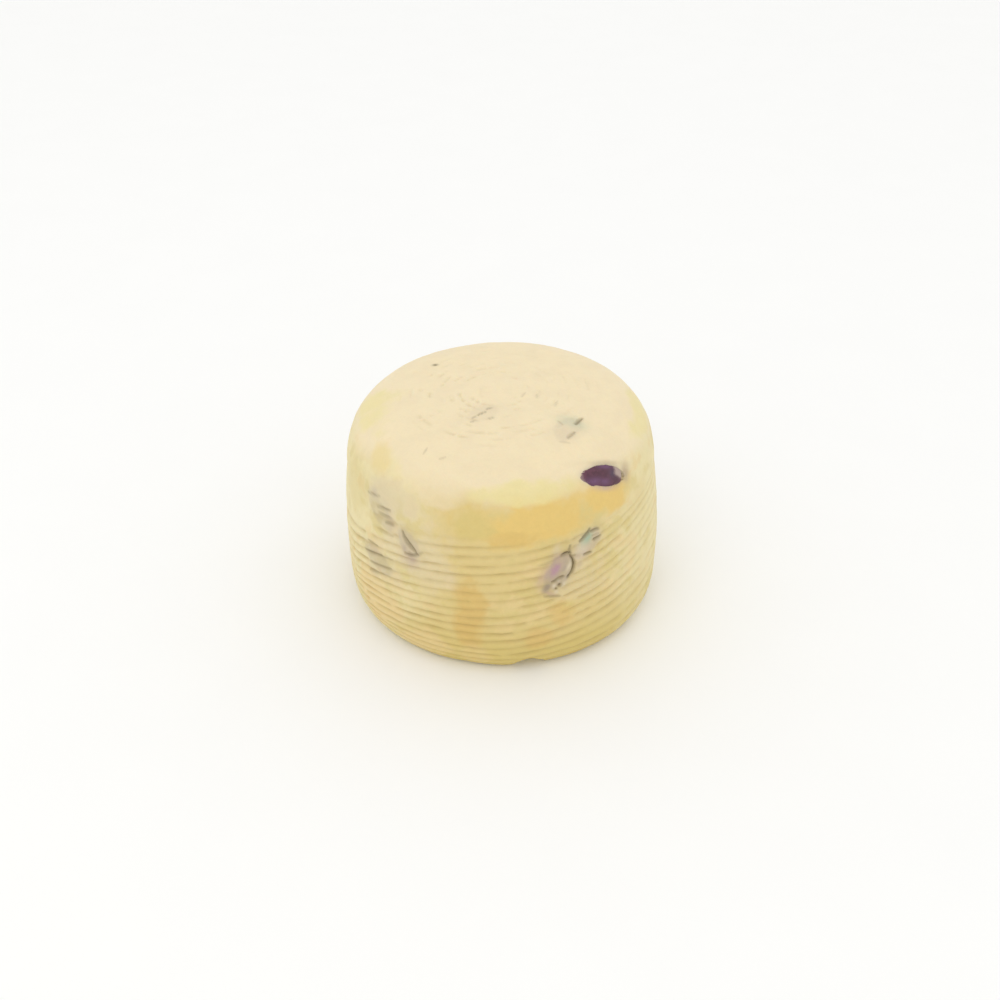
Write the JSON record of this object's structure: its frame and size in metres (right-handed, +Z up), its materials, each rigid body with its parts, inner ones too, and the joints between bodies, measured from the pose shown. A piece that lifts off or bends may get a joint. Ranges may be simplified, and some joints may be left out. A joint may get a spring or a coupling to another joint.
{
  "type": "caciotta cheese with olives",
  "caption": "Small drum-shaped basket-pressed cheese with a ringed side, a smooth rounded shoulder, a flat foot and black olives set in its skin.",
  "frame": {"origin": "middle of the flat foot, on the surface the cheese stands on", "axes": "+Z up along the drum's axis, -Y towards the front, the side whose lower edge is chipped, +X to the front's right"},
  "size_m": [0.1297, 0.1296, 0.0911],
  "materials": {
    "curd": "pale cream pressed curd, satin, with golden patches of rind",
    "olive": "aubergine-black olive flesh, moist satin"
  },
  "bodies": {
    "root": {"curd_drum": "curd", "olive_rim": "olive", "olive_front_low": "olive", "olive_front_high": "olive", "olive_left_high": "olive", "olive_left_middle": "olive", "olive_left_low": "olive", "olive_face_right": "olive", "olive_face_middle": "olive", "olive_back_right": "olive", "olive_back_high": "olive", "olive_back_low": "olive", "olive_back_left": "olive"}
  },
  "joints": []
}
